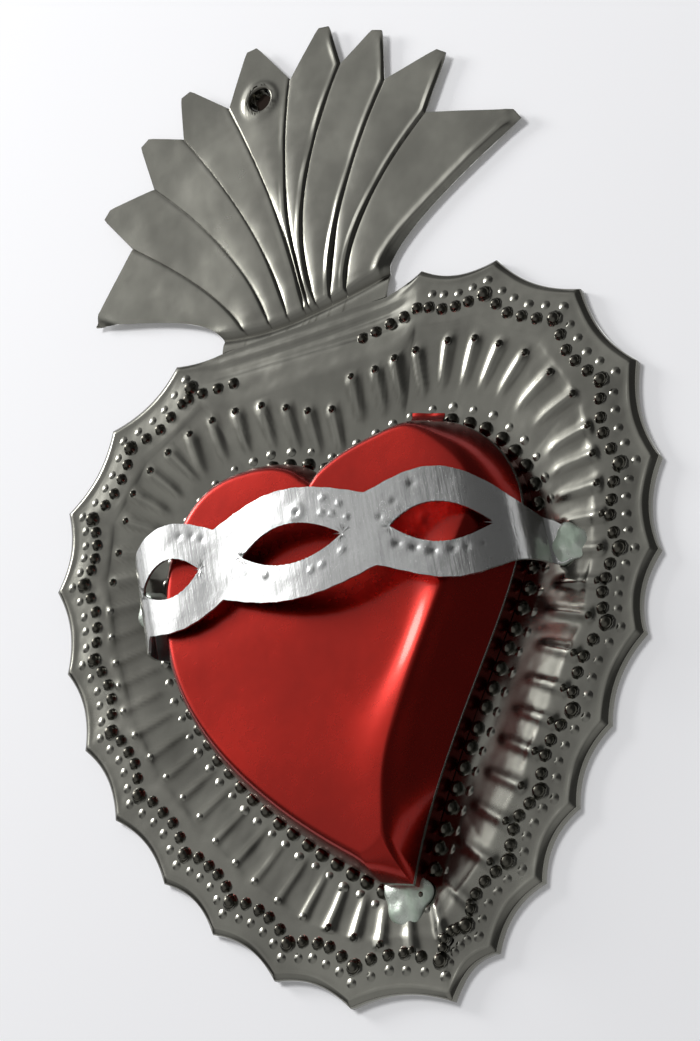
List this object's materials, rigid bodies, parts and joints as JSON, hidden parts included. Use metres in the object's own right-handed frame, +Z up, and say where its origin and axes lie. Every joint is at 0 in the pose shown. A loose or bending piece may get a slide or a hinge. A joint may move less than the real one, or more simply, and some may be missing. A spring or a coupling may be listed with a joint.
{
  "type": "tin wall ornament",
  "caption": "Pressed tin heart with a fan of flames, a scalloped beaded surround and a bright cut strip across it, hung on the wall by one hole.",
  "frame": {"origin": "centre of the hanging hole at the back of the sheet, on the wall", "axes": "+Z up, front towards -Y, +X to the right as seen from the front"},
  "size_m": [0.13, 0.0168, 0.2045],
  "materials": {
    "tin": "polished tin, darkened with age",
    "red_lacquer": "transparent red lacquer over tin, glossy",
    "bright_tin": "bright tin with fine brush lines",
    "solder": "satin solder"
  },
  "bodies": {
    "root": {"tin_plate": "tin", "red_heart": "red_lacquer", "thorn_band": "bright_tin", "tip_solder": "solder", "left_solder": "solder", "right_solder": "solder"}
  },
  "joints": []
}
